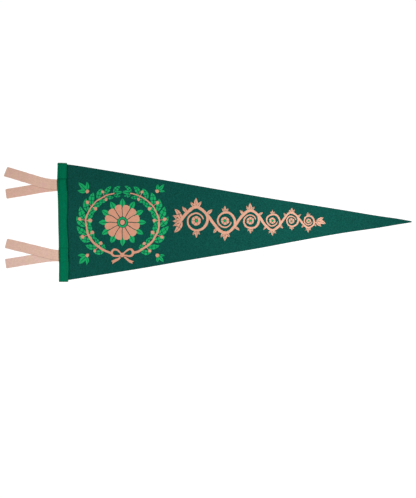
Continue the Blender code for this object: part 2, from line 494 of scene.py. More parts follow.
@dataclass(frozen=True)
class ScreenInk:
    """Water-based ink screened onto felt: flat and opaque, broken where fibres stand through it.

    It gives the eye a matte, slightly chalky shape with soft ragged edges and fine dark specks.
    """

    name: str
    # The ink runs from hoist_hex to tip_hex along x, paler towards the tip: partly the ink's own
    # tone, partly painted light, a paler veil where more light falls.
    hoist_hex: str
    tip_hex: str
    through_hex: str  # the felt that shows in the specks
    speck: float = 1.1 * MM
    speck_share: float = 0.35
    cloud: float = 4.0 * MM
    cloud_depth: float = 0.10
    fade_from: float = 60 * MM
    fade_to: float = 480 * MM

    def material(self) -> bpy.types.Material:
        """Builds the ink's node material.

        Returns:
            The material.
        """
        made, tree, shader, place = start_material(self.name)
        along = add_node(tree, "ShaderNodeSeparateXYZ", {"Vector": place}).outputs["X"]
        fade = add_node(
            tree, "ShaderNodeMapRange",
            {
                "Value": along,
                "From Min": HOIST_X + self.fade_from,
                "From Max": HOIST_X + self.fade_to,
            },
            interpolation_type="SMOOTHSTEP",
        ).outputs["Result"]
        body = add_node(
            tree, "ShaderNodeMix",
            {0: fade, MIX_A: linear(self.hoist_hex), MIX_B: linear(self.tip_hex)},
            data_type="RGBA",
        ).outputs[MIX_RESULT]
        grain = add_node(
            tree, "ShaderNodeTexNoise",
            {"Vector": place, "Scale": 1 / self.speck, "Detail": 3.0, "Distortion": 1.0},
            noise_type="RIDGED_MULTIFRACTAL", normalize=True,
        ).outputs["Fac"]
        specks = add_node(
            tree, "ShaderNodeMapRange",
            {"Value": grain, "From Min": 0.45, "From Max": 0.95, "To Max": self.speck_share},
        ).outputs["Result"]
        broken = add_node(
            tree, "ShaderNodeMix",
            {0: specks, MIX_A: body, MIX_B: linear(self.through_hex)},
            data_type="RGBA",
        ).outputs[MIX_RESULT]
        clouds = add_node(
            tree, "ShaderNodeTexNoise", {"Vector": place, "Scale": 1 / self.cloud, "Detail": 2.0}
        ).outputs["Fac"]
        tone = add_node(
            tree, "ShaderNodeMapRange",
            {
                "Value": clouds, "From Min": 0.25, "From Max": 0.75,
                "To Min": 1 - self.cloud_depth, "To Max": 1 + self.cloud_depth,
            },
        ).outputs["Result"]
        colour = add_node(
            tree, "ShaderNodeVectorMath", {"Vector": broken, "Scale": tone}, operation="SCALE"
        ).outputs["Vector"]
        bump = add_node(
            tree, "ShaderNodeBump", {"Height": grain, "Strength": 0.3, "Distance": 0.2 * MM}
        ).outputs["Normal"]
        fill(tree, shader, {
            "Base Color": colour, "Normal": bump, "Roughness": 0.8, "Specular IOR Level": 0.1,
        })
        return made


@dataclass(frozen=True)
class SpunThread:
    """Spun polyester sewing thread, two plies twisted: a faint slanting ridge and a dull shine."""

    name: str
    body_hex: str
    shade_hex: str
    twist: float = 0.9 * MM

    def material(self) -> bpy.types.Material:
        """Builds the thread's node material.

        Returns:
            The material.
        """
        made, tree, shader, place = start_material(self.name)
        plies = add_node(
            tree, "ShaderNodeTexWave",
            {"Vector": place, "Scale": 0.5 / self.twist, "Distortion": 0.4},
            bands_direction="DIAGONAL",
        ).outputs["Fac"]
        body = add_node(
            tree, "ShaderNodeMix",
            {0: plies, MIX_A: linear(self.shade_hex), MIX_B: linear(self.body_hex)},
            data_type="RGBA",
        ).outputs[MIX_RESULT]
        bump = add_node(
            tree, "ShaderNodeBump", {"Height": plies, "Strength": 0.5, "Distance": 0.1 * MM}
        ).outputs["Normal"]
        fill(tree, shader, {"Base Color": body, "Normal": bump, "Roughness": 0.6})
        return made


@dataclass(frozen=True)
class LooseFibre:
    """Single wool fibres drawn out of the felt: matte, some lighter and some darker.

    They give the eye a soft edge and a little lint, where a bare sheet would look cut from card.
    """

    name: str
    pale_hex: str
    deep_hex: str
    patch: float = 1.5 * MM  # how far apart fibres differ

    def material(self) -> bpy.types.Material:
        """Builds the fibres' node material.

        Returns:
            The material.
        """
        made, tree, shader, place = start_material(self.name)
        lot = add_node(
            tree, "ShaderNodeTexNoise", {"Vector": place, "Scale": 1 / self.patch}
        ).outputs["Fac"]
        dye = add_node(
            tree, "ShaderNodeMapRange", {"Value": lot, "From Min": 0.35, "From Max": 0.65}
        ).outputs["Result"]
        colour = add_node(
            tree, "ShaderNodeMix",
            {0: dye, MIX_A: linear(self.deep_hex), MIX_B: linear(self.pale_hex)},
            data_type="RGBA",
        ).outputs[MIX_RESULT]
        fill(tree, shader, {"Base Color": colour, "Roughness": 0.9, "Specular IOR Level": 0.0})
        return made


# Loose fibres


@dataclass
class Fuzz:
    """The loose fibres of one felt: they stand off its cut edges and lie over its face."""

    name: str
    slot: str
    finish: LooseFibre
    seed: int
    per_mm: float = 2.5  # fibres in a millimetre of cut edge
    radius: float = 0.045 * MM  # three times a real fibre's, so that it shows
    reach: float = 0.8  # scales the lengths of those at the cut edge
    caught: float = 0.3 * MM  # how far inside the cut edge a fibre starts
    stand: float = 0.04 * MM  # how far those on the face rise from just under it
    skin: Skin = field(default_factory=Skin)
    rng: np.random.Generator = field(init=False)

    def __post_init__(self) -> None:
        """Seeds the fibres' own row of random numbers."""
        self.rng = np.random.default_rng(self.seed)

    def fringe(self, line: Array) -> None:
        """Grows fibres out of a cut edge, from just inside it and mostly straight out.

        Args:
            line: Points along the middle of the cut, with the felt on the left.
        """
        strides = np.linalg.norm(np.diff(line, axis=0), axis=1)
        reach = np.concatenate([[0.0], strides.cumsum()])
        count = round(self.per_mm * reach[-1] / MM)
        at = self.rng.uniform(0.0, reach[-1] - 0.5 * MM, count)
        here, ahead = (
            joined(*(np.interp(spot, reach, line[:, k]) for k in range(3)))
            for spot in (at, at + 0.4 * MM)
        )
        out = np.arctan2(ahead[:, 1] - here[:, 1], ahead[:, 0] - here[:, 0]) - math.pi / 2
        depth = self.rng.uniform(-0.35, 0.35, count) * MM
        inward = -self.caught * joined(np.cos(out), np.sin(out), 0 * out)
        length = self.reach * (0.4 + self.rng.gamma(2.0, 0.32, count)).clip(max=2.4) * MM
        self.skin.add_fibres(
            here + inward + depth[:, None] * UP,
            heading=out + self.rng.normal(0.0, 0.5, count).clip(-1.2, 1.2),
            curl=self.rng.normal(0.0, 1.1, count),
            length=length,
            rise=length * self.rng.uniform(-0.25, 0.30, count),
            arch=0 * length,
            radius=self.radius,
        )

    def scatter(self, root: Array) -> None:
        """Lays fibres on a face, each in a low arch.

        Args:
            root: Points of the face, by 3, one for each fibre.
        """
        count = len(root)
        length = (0.9 + self.rng.gamma(2.0, 0.45, count)).clip(max=3.5) * MM
        self.skin.add_fibres(
            root - self.stand * UP,
            heading=self.rng.uniform(0.0, 2 * math.pi, count),
            curl=self.rng.normal(0.0, 1.5, count),
            length=length,
            rise=self.stand + 0 * length,
            arch=self.rng.uniform(0.04, 0.20, count) * MM,
            radius=self.radius,
        )

    def build(self) -> bpy.types.Object:
        """Makes the fibres' mesh."""
        return self.skin.to_object(self.name, self.finish.material(), self.slot)


# The pennant


class EdgeStation(NamedTuple):
    """How far the pennant's two long edges stand out of a straight cut, in millimetres."""

    along: float
    upper_out: float
    lower_out: float


EDGE_STATIONS = [
    EdgeStation(0, -1.0, 0.2),
    EdgeStation(30, 0.2, 0.5),
    EdgeStation(80, 0.6, 0.9),
    EdgeStation(160, 0.5, 1.5),
    EdgeStation(240, 0.2, 1.1),
    EdgeStation(315, -0.4, 1.1),
    EdgeStation(390, -1.0, 0.9),
    EdgeStation(470, -0.7, -0.6),
    EdgeStation(550, -0.2, -1.2),
    EdgeStation(625, -0.2, 0.3),
    EdgeStation(665, 0.6, 0.3),
    EdgeStation(685.8, 0.2, 0.6),
]


@dataclass
class Pennant:
    """The long triangle of dark green felt."""

    felt: WoolFelt
    length: float = 685.8 * MM
    hoist_top: float = 115.7 * MM
    hoist_bottom: float = -114.5 * MM
    inset_top: float = 0.8 * MM
    inset_bottom: float = 3.2 * MM
    tip_top: float = 2.1 * MM
    tip_bottom: float = 0.5 * MM
    thickness: float = 1.5 * MM
    edge_radius: float = 0.6 * MM
    row_step: float = 2.2 * MM
    column_step: float = 3.2 * MM
    sewn_width: float = 25 * MM  # the rows stand closer as far as the header reaches
    sewn_step: float = 0.5 * MM
    held_to: float = 18 * MM  # x up to which the header holds the felt flat
    seam_sink: float = 0.32 * MM  # how far each seam pulls the back in
    seam_width: float = 0.8 * MM
    dent_width: float = 1.4 * MM  # the shallow dent along the header's edge, and the painted shade line in it
    dent_depth: float = 0.12 * MM
    swell_height: float = 0.30 * MM
    swell_run: float = 50 * MM  # over which the swells set in, past the header
    swell: Unevenness = Unevenness(60 * MM, 210 * MM, 7, seed=11)
    nap_height: float = 0.04 * MM
    nap_run: float = 10 * MM
    nap: Unevenness = Unevenness(10 * MM, 32 * MM, 14, seed=12)
    fuzz_from: float = 20 * MM  # x from which the cut edge and the face show loose fibres
    lint_from: float = 22 * MM
    lint: int = 4200  # loose fibres on the face, before those on ink are left out
    area: float = 0.0788  # square metres

    def edges(self, x: Array) -> tuple[Array, Array]:
        """Finds the long edges: a straight cut plus the waver of its stations.

        Args:
            x: Where along the flag.

        Returns:
            y of the lower edge and of the upper one.
        """
        known, upper_out, lower_out = np.array(EDGE_STATIONS).T * MM
        upper = np.interp(x, [self.inset_top, self.length], [self.hoist_top, self.tip_top])
        lower = np.interp(x, [self.inset_bottom, self.length], [self.hoist_bottom, self.tip_bottom])
        return lower - smooth_table(x, known, lower_out), upper + smooth_table(x, known, upper_out)

    def lift(self, x: Array, y: Array) -> Array:
        """How far the felt stands off the surface: slow low swells, flat under the header."""
        clear = smoothstep((x - self.held_to) / self.swell_run)
        return self.swell_height * clear * (0.5 + 0.5 * np.tanh(self.swell.at(x, y)))

    def top(self, x: Array, y: Array) -> Array:
        """Height of the printed face: the lift, a full thickness, and a trace of lumpiness."""
        clear = smoothstep((x - self.held_to) / self.nap_run)
        return self.lift(x, y) + self.thickness + self.nap_height * clear * self.nap.at(x, y)

    def cut_edge(self) -> Array:
        """Follows the cut, along the lower edge to the tip and back along the upper one.

        Returns:
            Points by 3, at half the felt's thickness.
        """
        x = np.linspace(self.fuzz_from, self.length, 200)
        lower, upper = self.edges(x)
        x, y = np.append(x, x[::-1]), np.append(lower, upper[::-1])
        return joined(x, y, self.lift(x, y) + self.thickness / 2)

    def face_at(self, area_share: Array, across: Array) -> Array:
        """Finds points of the face. The area left to the tip falls as its length squared.

        Args:
            area_share: Shares of the face's area, counted from the header.
            across: Shares of its width there, counted from the lower edge.

        Returns:
            Points by 3.
        """
        x = self.lint_from + (self.length - self.lint_from) * (1 - np.sqrt(1 - area_share))
        lower, upper = self.edges(x)
        y = lower + (upper - lower) * across
        return joined(x, y, self.top(x, y))

    def build(self, header: Header) -> bpy.types.Object:
        """Makes the felt sheet: a grid between its edges, rounded at the rim.

        Args:
            header: The strip over the hoist, which presses a shallow dent into the felt beside it,
                with painted shade along it.

        Returns:
            The sheet, standing for the solid node.
        """
        rows = spaced(self.length, self.row_step, self.edge_radius)
        rows = rows[(rows <= self.edge_radius) | (rows > self.sewn_width)]
        sewn = np.arange(self.edge_radius + self.sewn_step, self.sewn_width, self.sewn_step)
        reach = np.union1d(rows, sewn) / self.length
        middle_width = self.hoist_top - self.hoist_bottom
        share = spaced(middle_width, self.column_step, self.edge_radius) / middle_width
        along, across = np.meshgrid(reach, share, indexing="ij")
        inset = self.inset_bottom + (self.inset_top - self.inset_bottom) * across
        x = inset + (self.length - inset) * along
        low, high = self.edges(x)
        y = low + (high - low) * across

        from_side = np.minimum(y - low, high - y)
        from_end = np.minimum(x - inset, self.length - x)
        roundness = round_edge(from_side, self.edge_radius) * round_edge(from_end, self.edge_radius)
        top = self.top(x, y)
        seam_left, seam_right = header.seams(y)
        sunk = bell(x - seam_left, self.seam_width) + bell(x - seam_right, self.seam_width)
        under = self.lift(x, y) + self.seam_sink * sunk
        middle = (top + under) / 2
        half = (top - under) / 2 * roundness
        past_header = x - header.edges(y)[1]
        # Painted shade: a dark line along the header's edge, standing for its contact shadow, over
        # a real shallow dent.
        dent = bell(np.maximum(past_header, 0.0), self.dent_width)
        shade = 0.85 + 0.15 * self.nap.at(0 * y, 0.7 * y)
        upper = middle + half - self.dent_depth * dent * roundness
        skin = Skin()
        skin.add_sheet(x, y, upper, middle - half, dent * shade)
        piece = skin.to_object("pennant_sheet", self.felt.material(), "pennant_felt")
        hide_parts("pennant")
        return piece


# The ties


@dataclass
class Tie:
    """One tie strip, sewn in under the header, lying free at its other end."""

    name: str
    felt: WoolFelt
    root_height: float  # y of the strip's middle where it leaves the header
    root_lean: float  # degrees above the level
    tail_lean: float
    bend: float  # length over which the lean changes
    length: float
    width: float
    end_skew: float  # degrees that the cut end is off square
    layer: int  # 0 lies on the pennant, 1 on the other tie of the pair
    rests_on: str
    seed: int
    drape: float  # over which the header comes down beside it
    exit: float = -2.0 * MM  # x where it leaves the header
    hidden: float = 15.0 * MM  # how much of it the header covers
    thickness: float = 1.0 * MM
    step: float = 1.4 * MM  # a tie's thickness and the room above it
    base: float = 1.8 * MM  # height of the pair's underside on the pennant
    drop_from: float = -3.6 * MM  # x where the pair comes down off the hoist, and over how far
    drop_run: float = 13.4 * MM
    part_from: float = -58 * MM  # x past which the upper tie comes down off the lower one
    part_run: float = 20 * MM
    corner: float = 2.0 * MM
    edge_radius: float = 0.45 * MM
    waver: float = 0.18 * MM  # how unevenly its long edges are cut
    shade_width: float = 0.9 * MM  # of the painted shade line along the upper tie's lower edge
    lint: int = 220  # loose fibres on its face

    def path(self, along: Array) -> tuple[Array, Array, Array]:
        """Finds points of the middle line.

        The lean eases from its root value to its tail value over the bend, and the line is the
        sum of short steps in that direction. Under the header it runs straight on.

        Args:
            along: Distances from where the strip leaves the header.

        Returns:
            x, y and lean, in radians.
        """
        steps = np.linspace(0.0, self.length * 1.1, 400)
        change = math.radians(self.tail_lean - self.root_lean)
        lean = math.radians(self.root_lean) + change * smoothstep(steps / self.bend)
        middle = (lean[1:] + lean[:-1]) / 2
        stride = np.diff(steps)
        x = np.concatenate([[0.0], -np.cumsum(np.cos(middle) * stride)])
        y = np.concatenate([[0.0], np.cumsum(np.sin(middle) * stride)])
        hidden = np.minimum(along, 0.0)
        path_x = np.interp(along, steps, x) - hidden * math.cos(lean[0])
        path_y = np.interp(along, steps, y) + hidden * math.sin(lean[0])
        return self.exit + path_x, self.root_height + path_y, np.interp(along, steps, lean)

    def underside(self, x: Array) -> Array:
        """Finds the underside: down off the hoist, then, past the fork, to the surface.

        Args:
            x: Where along the ties.

        Returns:
            Its heights.
        """
        down = smoothstep((self.drop_from - x) / self.drop_run)
        past_fork = smoothstep((self.part_from - x) / self.part_run)
        return self.base * (1 - down) + self.layer * self.step * (1 - past_fork)

    def place(self, along: Array, off: Array) -> tuple[Array, Array]:
        """Places points of the strip in the plane, skewed more and more towards its cut end.

        Args:
            along: Distances from where the strip leaves the header.
            off: Distances off its middle line.

        Returns:
            x and y.
        """
        skew = math.tan(math.radians(self.end_skew))
        x, y, lean = self.path(along + off * skew * smoothstep(along / self.length))
        return x + off * np.sin(lean), y + off * np.cos(lean)

    def span(self) -> tuple[float, float]:
        """Finds how far up and down the strip reaches under the header.

        Returns:
            Its lowest and highest y there.
        """
        along, side = np.meshgrid(np.linspace(-self.hidden, 0.0, 5), [-0.5, 0.5])
        y = self.place(along.ravel(), side.ravel() * self.width)[1]
        return float(y.min()), float(y.max())

    def lower_edge(self, x: Array) -> Array:
        """Finds the strip's lower edge.

        Args:
            x: Where along the ties.

        Returns:
            y of the edge at each x.
        """
        along = np.linspace(self.length, -self.hidden, 200)
        edge_x, edge_y = self.place(along, np.full(200, -self.width / 2))
        return np.interp(x, edge_x, edge_y)

    def point(self, along: Array, side: Array) -> tuple[Array, Array, Array]:
        """Where the strip's underside lies, slightly cupped and wavering where it was cut.

        Args:
            along: Distances from where the strip leaves the header.
            side: Shares of half the width off the middle line, from -1 to 1.

        Returns:
            x, y and the height of the underside.
        """
        shape = Unevenness(9 * MM, 40 * MM, 9, seed=self.seed)
        narrowed = corner_inset(self.length - along, self.corner)
        cut = self.waver * shape.at(along, np.sign(side)) * smoothstep(along / (8 * MM))
        x, y = self.place(along, side * (self.width / 2 - narrowed + cut))
        free = smoothstep((along - 2 * MM) / (20 * MM))
        cup = 0.10 * side**2 + 0.06 * (1 + np.tanh(shape.at(x, y)))
        return x, y, self.underside(x) + cup * free * MM

    def build(self, above: Tie | None) -> bpy.types.Object:
        """Makes the strip: a grid along its path, with painted shade on its rim and along the edge
        of the tie that lies on it.

        Args:
            above: The tie that lies on it, if any.

        Returns:
            The strip, standing for its solid node.
        """
        along = spaced(self.length + self.hidden, 0.8 * MM, self.edge_radius) - self.hidden
        share = spaced(self.width, 0.6 * MM, self.edge_radius) / self.width
        along, share = np.meshgrid(along, share, indexing="ij")
        side = 2 * share - 1
        x, y, under = self.point(along, side)
        from_end = np.minimum(self.length - along, along + self.hidden)
        from_side = self.width / 2 * (1 - np.abs(side))
        roundness = round_edge(from_side, self.edge_radius) * round_edge(from_end, self.edge_radius)
        middle = under + self.thickness / 2
        half = self.thickness / 2 * roundness
        # Painted shade: the rounded rim a little darker, and the under tie darker along the upper
        # tie's lower edge, where shade falls.
        painted_shade = 0.25 * (1 - roundness)
        if above is not None:
            shade = 0.38 * bell(above.lower_edge(x) - y, self.shade_width)
            painted_shade += shade * smoothstep(along / (4 * MM))
        skin = Skin()
        skin.add_sheet(x, y, middle + half, middle - half, painted_shade)
        piece = skin.to_object(f"{self.name}_strip", self.felt.material(), "tie_felt")
        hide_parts(self.name)
        return piece

    def cut_edge(self) -> Array:
        """Follows the cut outside the header, with the felt on the left.

        Returns:
            Points by 3, at half the felt's thickness.
        """
        long_way, cross_way = np.linspace(2 * MM, self.length, 80), np.linspace(1.0, -1.0, 20)
        along = np.concatenate([long_way, np.full(20, self.length), long_way[::-1]])
        side = np.concatenate([np.ones(80), cross_way, -np.ones(80)])
        x, y, under = self.point(along, side)
        return joined(x, y, under + self.thickness / 2)

    def face_at(self, along_share: Array, side: Array) -> Array:
        """Points of the upper face at shares of the free length and of half the width."""
        x, y, under = self.point(4 * MM + (self.length - 6 * MM) * along_share, side)
        return joined(x, y, under + self.thickness)


def tan_felt(lot: str, body_hex: str, fleece_hex: str) -> WoolFelt:
    """The ties' soft tan felt: each tie is cut from another dye lot, a shade off the rest.

    Args:
        lot: What tells it from the others, for its name.
        body_hex: Most of its blend.
        fleece_hex: The second dyed fleece in it.

    Returns:
        The finish.
    """
    return WoolFelt(
        f"{lot}_tan_wool_felt", body_hex, fleece_hex, fibre_hex="#ead0c2",
        nap=Nap.ALONG_X, clump_depth=0.10, fibre_share=0.20, bloom_hex="#efdccd",
    )


def cut_ties() -> list[Tie]:
    """Cuts the ties, each to its own measures.

    Returns:
        The four, in the order that they were laid down.
    """
    return [
        Tie(
            "tie_top_under", tan_felt("deep", "#dcb0a2", "#d9b29d"),
            root_height=70.1 * MM, root_lean=-5.2, tail_lean=-9.6,
            bend=40 * MM, length=100.1 * MM, width=18.9 * MM, end_skew=-2.3, layer=0,
            rests_on="pennant_sheet", seed=21, drape=1.6 * MM,
        ),
        Tie(
            "tie_top_over", tan_felt("warm", "#ddb3a5", "#dab5a0"),
            root_height=73.1 * MM, root_lean=4.5, tail_lean=17.1,
            bend=43.5 * MM, length=103.3 * MM, width=19.6 * MM, end_skew=-5.0, layer=1,
            rests_on="tie_top_under_strip", seed=22, drape=1.6 * MM,
        ),
        Tie(
            "tie_low_under", tan_felt("pink", "#d9b5aa", "#d6b7a5"),
            root_height=-66.5 * MM, root_lean=-0.5, tail_lean=-9.2,
            bend=30 * MM, length=100.7 * MM, width=18.5 * MM, end_skew=-1.2, layer=0,
            rests_on="pennant_sheet", seed=23, drape=6.0 * MM,
        ),
        Tie(
            "tie_low_over", tan_felt("dull", "#d5b0a2", "#d6b2a0"),
            root_height=-63.2 * MM, root_lean=5.0, tail_lean=13.5,
            bend=14 * MM, length=101.5 * MM, width=19.5 * MM, end_skew=-1.2, layer=1,
            rests_on="tie_low_under_strip", seed=24, drape=6.0 * MM,
        ),
    ]


def tie_covers(ties: list[Tie]) -> list[Tie | None]:
    """For each tie, the one that lies on it, if any."""
    return [next((t for t in ties if t.rests_on == f"{tie.name}_strip"), None) for tie in ties]


# The header


class HeaderStation(NamedTuple):
    """Where the header strip's two edges lie at one height on the hoist, in millimetres."""

    height: float
    left: float
    right: float


HEADER_STATIONS = [
    HeaderStation(-115.5, 1.9, 20.2),
    HeaderStation(-95.0, 2.1, 20.8),
    HeaderStation(-80.0, 2.2, 21.0),
    HeaderStation(-64.0, 1.8, 20.2),
    HeaderStation(-48.0, 1.6, 20.4),
    HeaderStation(-33.0, 1.4, 19.5),
    HeaderStation(-18.0, 1.0, 18.3),
    HeaderStation(5.0, 0.5, 17.4),
    HeaderStation(21.0, 0.3, 18.4),
    HeaderStation(44.0, -0.2, 18.6),
    HeaderStation(59.0, -0.8, 18.2),
    HeaderStation(73.0, -1.5, 17.2),
    HeaderStation(91.0, -1.3, 17.1),
    HeaderStation(106.0, -0.8, 17.5),
    HeaderStation(115.6, -0.7, 18.0),
]


@dataclass(frozen=True)
class Grooves:
    """How the sewing shapes the header strip, in millimetres but for the last."""

    width: float = 0.95  # of a seam's groove
    depth: float = 0.38
    depth_at_hole: float = 0.24  # more, where the thread goes down
    depth_over_ties: float = 0.35  # more again, over the ties
    left_fall: float = 0.75  # how far the bands outside the seams come down
    right_fall: float = 0.35
    pucker: float = 0.06
    pucker_width: float = 2.6
    pucker_slant: float = 6.0  # how far the puckers turn between the seams, in radians


@dataclass(frozen=True)
class Shades:
    """How much painted shade the header's felt gets in each place, as shares of the darkest,
    standing for the shade in its seams, over its ridge and by its edges.
    """

    left_seam: float = 0.36
    left_seam_over_ties: float = 0.45
    right_seam: float = 0.18
    left_band_over_ties: float = 0.30
    ridge: float = 0.40  # at the left seam, and how much less at the right one
    ridge_fades: float = 0.26
    right_edge: float = 0.34
    top_end: float = 0.16


@dataclass
class Header:
    """The narrow strip sewn over the hoist and the roots of the ties, with its two seams."""

    felt: WoolFelt
    thread: SpunThread
    ties: list[Tie]
    top: float = 115.6 * MM
    bottom: float = -115.5 * MM
    width: float = 18 * MM
    corner: float = 1.2 * MM
    end_drop: float = 0.7 * MM  # how much lower the top end is cut at its right corner
    end_fall: float = 0.35 * MM  # how far both ends come down, and over what length
    end_run: float = 3 * MM
    base: float = 1.8 * MM
    thickness: float = 1.2 * MM
    edge_radius: float = 0.5 * MM
    row_step: float = 0.5 * MM
    column_step: float = 0.6 * MM
    left_seam: float = 3.4 * MM  # x of each seam at mid height, and its slope
    left_seam_slope: float = -0.0130
    right_seam: float = 15.9 * MM
    right_seam_slope: float = -0.0075
    stitch: float = 3.0 * MM  # pitch of the lockstitch
    thread_radius: float = 0.17 * MM
    thread_wander: float = 0.18 * MM
    crown: float = 0.40 * MM  # how far the strip stands up between its seams
    tie_clear: float = 0.2 * MM
    ridge_width: float = 1.9 * MM  # of the painted shade line over the top pair's upper edge
    lumps: Unevenness = Unevenness(9 * MM, 34 * MM, 12, seed=31)
    lump_height: float = 0.10 * MM
    lint: int = 420  # loose fibres on its face
    grooves: Grooves = Grooves()
    shades: Shades = Shades()

    def from_end(self, y: Array) -> Array:
        """Distance from the nearer end of the strip."""
        return np.minimum(self.top - y, y - self.bottom)

    def edges(self, y: Array) -> tuple[Array, Array]:
        """Finds the strip's long edges, from its stations and its round corners.

        Args:
            y: Where along the strip.

        Returns:
            x of the left edge and of the right one.
        """
        height, left, right = np.array(HEADER_STATIONS).T * MM
        inset = corner_inset(self.from_end(y), self.corner)
        return smooth_table(y, height, left) + inset, smooth_table(y, height, right) - inset

    def seams(self, y: Array) -> tuple[Array, Array]:
        """x of the two straight rows of stitches at each height."""
        left = self.left_seam + self.left_seam_slope * y
        return left, self.right_seam + self.right_seam_slope * y

    def tie_lift(self, y: Array) -> Array:
        """Works out how far the ties raise the strip: to the top of the highest, then a ramp.

        Args:
            y: Where along the strip.

        Returns:
            Its lift there.
        """
        lift = np.zeros_like(y)
        for tie in self.ties:
            low, high = tie.span()
            outside = np.maximum(low - y, y - high) - self.tie_clear
            raised = (tie.layer + 1) * tie.step
            lift = np.maximum(lift, raised * smoothstep(1 - outside / tie.drape))
        return lift

    def over_ties(self, y: Array) -> Array:
        """1 where the strip lies over a pair of ties, 0 away from them."""
        return self.tie_lift(y) / (2 * self.ties[0].step)

    def ridge(self, y: Array) -> Array:
        """1 along the top pair's upper edge, where the strip comes down over it and its painted
        shade line lies.
        """
        high = max(tie.span()[1] for tie in self.ties)
        return bell(y - high + 0.8 * MM, self.ridge_width)

    def surface(self, x: Array, y: Array) -> tuple[Array, Array, Array]:
        """Works out the heights of the face and of the underside, and the painted shade on the
        felt.

        The strip stands up in a low crown between its seams, a sine of half a turn raised to
        0.8. Each seam pulls a groove, a bell across and a cosine along, deepest where the
        thread goes down. The bands outside them fall to the edges, and fine puckers run out
        from the thread. The ties lift all of it, and its ends come down a little.

        Args:
            x: Points across the strip.
            y: Points along it.

        Returns:
            Three arrays like x: face, underside, painted shade.
        """
        cut, shade = self.grooves, self.shades
        left, right = self.edges(y)
        seam_left, seam_right = self.seams(y)
        groove_left = bell(x - seam_left, cut.width * MM)
        groove_right = bell(x - seam_right, cut.width * MM)
        over = self.over_ties(y)
        down = 0.5 + 0.5 * np.cos(2 * math.pi * y / self.stitch)
        depth = (cut.depth + cut.depth_at_hole * down + cut.depth_over_ties * over) * MM
        groove = (groove_left + groove_right) * depth
        inside = np.clip((x - seam_left) / (seam_right - seam_left), 0.0, 1.0)
        arch = np.sin(math.pi * inside) ** 0.8
        crown = arch * (self.crown + self.lump_height * self.lumps.at(x, y))
        band_left = smoothstep((seam_left - x) / (seam_left - left))
        band_right = smoothstep((x - seam_right) / (right - seam_right))
        fall = (cut.left_fall * band_left + cut.right_fall * band_right) * MM
        reach = cut.pucker_width * MM
        near_seam = bell(x - seam_left, reach) + bell(x - seam_right, reach)
        wave = np.sin(2 * math.pi * y / self.stitch + cut.pucker_slant * inside)
        pucker = cut.pucker * MM * near_seam * wave
        ends = self.end_fall * smoothstep(1 - self.from_end(y) / self.end_run)
        base = self.base + self.tie_lift(y)
        face = base + self.thickness + crown - groove - fall + pucker - ends
        under = base - np.minimum(0.25 * MM, 0.4 * (groove + fall)) + 0.6 * crown * arch
        # Painted shade: darker in the seams' grooves, in the left band over the ties, along the
        # ridge, by the right edge and at the top end.
        painted_shade = (
            groove_left * (shade.left_seam + shade.left_seam_over_ties * over)
            + groove_right * shade.right_seam
            + shade.left_band_over_ties * band_left * over
            + (shade.ridge - shade.ridge_fades * inside) * self.ridge(y)
            + shade.right_edge * bell(right - x, 1.2 * MM)
            + shade.top_end * bell(self.top - y, 3 * MM)
        )
        return face, under, painted_shade

    def build(self) -> list[bpy.types.Object]:
        """Makes the strip, a grid between its edges and its ends, and its thread.

        Returns:
            The strip, standing for the solid node, and the thread.
        """
        length = self.top - self.bottom
        rows = self.bottom + spaced(length, self.row_step, self.edge_radius)
        share = spaced(self.width, self.column_step, self.edge_radius) / self.width
        y, share = np.meshgrid(rows, share, indexing="ij")
        left, right = self.edges(y)
        x = left + (right - left) * share
        face, under, painted_shade = self.surface(x, y)
        roundness = round_edge(np.minimum(x - left, right - x), self.edge_radius)
        roundness = roundness * round_edge(self.from_end(y), self.edge_radius)
        middle, half = (face + under) / 2, (face - under) / 2 * roundness
        slanted = y - self.end_drop * share * smoothstep(1 - (self.top - y) / (2 * self.corner))
        skin = Skin()
        skin.add_sheet(x, slanted, middle + half, middle - half, painted_shade)
        strip = skin.to_object("header_strip", self.felt.material(), "header_felt")
        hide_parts("header")
        sewing = self.stitches().to_object("seam_thread", self.thread.material(), "thread")
        return [strip, sewing]

    def cut_edge(self) -> Array:
        """Follows the cut all the way round, from the lower left corner.

        Returns:
            Points by 3, at half the strip's thickness.
        """
        up = np.linspace(self.bottom, self.top, 200)
        left, right = self.edges(up)
        across = np.linspace(0.0, 1.0, 20)
        x = np.concatenate([
            left[0] + (right[0] - left[0]) * across, right,
            right[-1] + (left[-1] - right[-1]) * across, left[::-1],
        ])
        y = np.concatenate([np.full(20, up[0]), up, np.full(20, up[-1]), up[::-1]])
        face, under, _ = self.surface(x, y)
        return joined(x, y, (face + under) / 2)

    def face_at(self, up_share: Array, across: Array) -> Array:
        """Finds points of the face between the seams.

        Args:
            up_share: Shares of the strip's length, counted from its bottom.
            across: Shares of the room between the seams, counted from the left.

        Returns:
            Points by 3.
        """
        y = self.bottom + (self.top - self.bottom) * up_share
        left, right = self.seams(y)
        x = left + 2 * MM + (right - left - 4 * MM) * across
        return joined(x, y, self.surface(x, y)[0])

